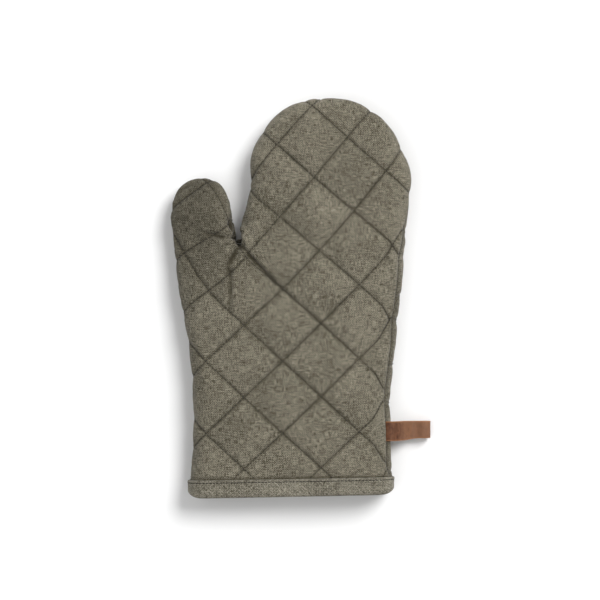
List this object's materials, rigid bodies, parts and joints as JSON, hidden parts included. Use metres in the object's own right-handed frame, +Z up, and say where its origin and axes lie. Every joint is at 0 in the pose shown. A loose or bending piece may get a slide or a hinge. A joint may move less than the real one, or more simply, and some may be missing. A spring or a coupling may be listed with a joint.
{
  "type": "oven mitt",
  "caption": "Diamond-quilted padded mitt with a hand and thumb pocket, a bound cuff and a leather hanging loop on its side seam.",
  "frame": {"origin": "centre of the whole mitt's footprint (loop included), at the surface it lies on", "axes": "+Y from the cuff towards the fingertips, +Z up through the palm, +X towards the side with the hanging loop, away from the thumb"},
  "size_m": [0.1967, 0.3022, 0.0298],
  "materials": {
    "outer_cloth": "matte melange weave, taupe with pale slubs",
    "binding_tape": "matte bias-cut melange weave",
    "wadding": "soft white needled wadding",
    "lining": "matte unbleached cotton",
    "thread": "dark olive sewing thread",
    "leather": "brown vegetable-tanned leather, satin"
  },
  "bodies": {
    "hand": {"palm_outer_hand": "outer_cloth", "palm_wadding_hand": "wadding", "palm_lining_hand": "lining", "back_outer_hand": "outer_cloth", "back_wadding_hand": "wadding", "back_lining_hand": "lining", "palm_quilting_hand": "thread", "back_quilting_hand": "thread", "seam_thread_left": "thread", "seam_thread_crotch": "thread", "seam_thread_right": "thread", "cuff_binding": "binding_tape", "binding_stitching": "thread"},
    "fingers": {"palm_outer_fingers": "outer_cloth", "palm_wadding_fingers": "wadding", "palm_lining_fingers": "lining", "back_outer_fingers": "outer_cloth", "back_wadding_fingers": "wadding", "back_lining_fingers": "lining", "palm_quilting_fingers": "thread", "back_quilting_fingers": "thread", "seam_thread_fingers": "thread"},
    "thumb": {"palm_outer_thumb": "outer_cloth", "palm_wadding_thumb": "wadding", "palm_lining_thumb": "lining", "back_outer_thumb": "outer_cloth", "back_wadding_thumb": "wadding", "back_lining_thumb": "lining", "palm_quilting_thumb": "thread", "back_quilting_thumb": "thread", "seam_thread_thumb": "thread"},
    "loop": {"hanging_loop": "leather"}
  },
  "joints": [
    {"name": "finger_flex", "type": "hinge", "parent": "hand", "child": "fingers", "pos_m": [-0.0071, 0.07776, 0.0296], "axis": [1, 0, 0], "range_deg": [0, 60], "stiffness_Nm_per_rad": 0.02},
    {"name": "thumb_flex", "type": "hinge", "parent": "hand", "child": "thumb", "pos_m": [-0.0461, 0.04676, 0.0296], "axis": [0.6018, 0.7986, 0], "range_deg": [0, 55], "stiffness_Nm_per_rad": 0.01},
    {"name": "loop_swing", "type": "hinge", "parent": "hand", "child": "loop", "pos_m": [0.07106, -0.10124, 0.0149], "axis": [0, 1, 0], "range_deg": [-110, 65]}
  ]
}
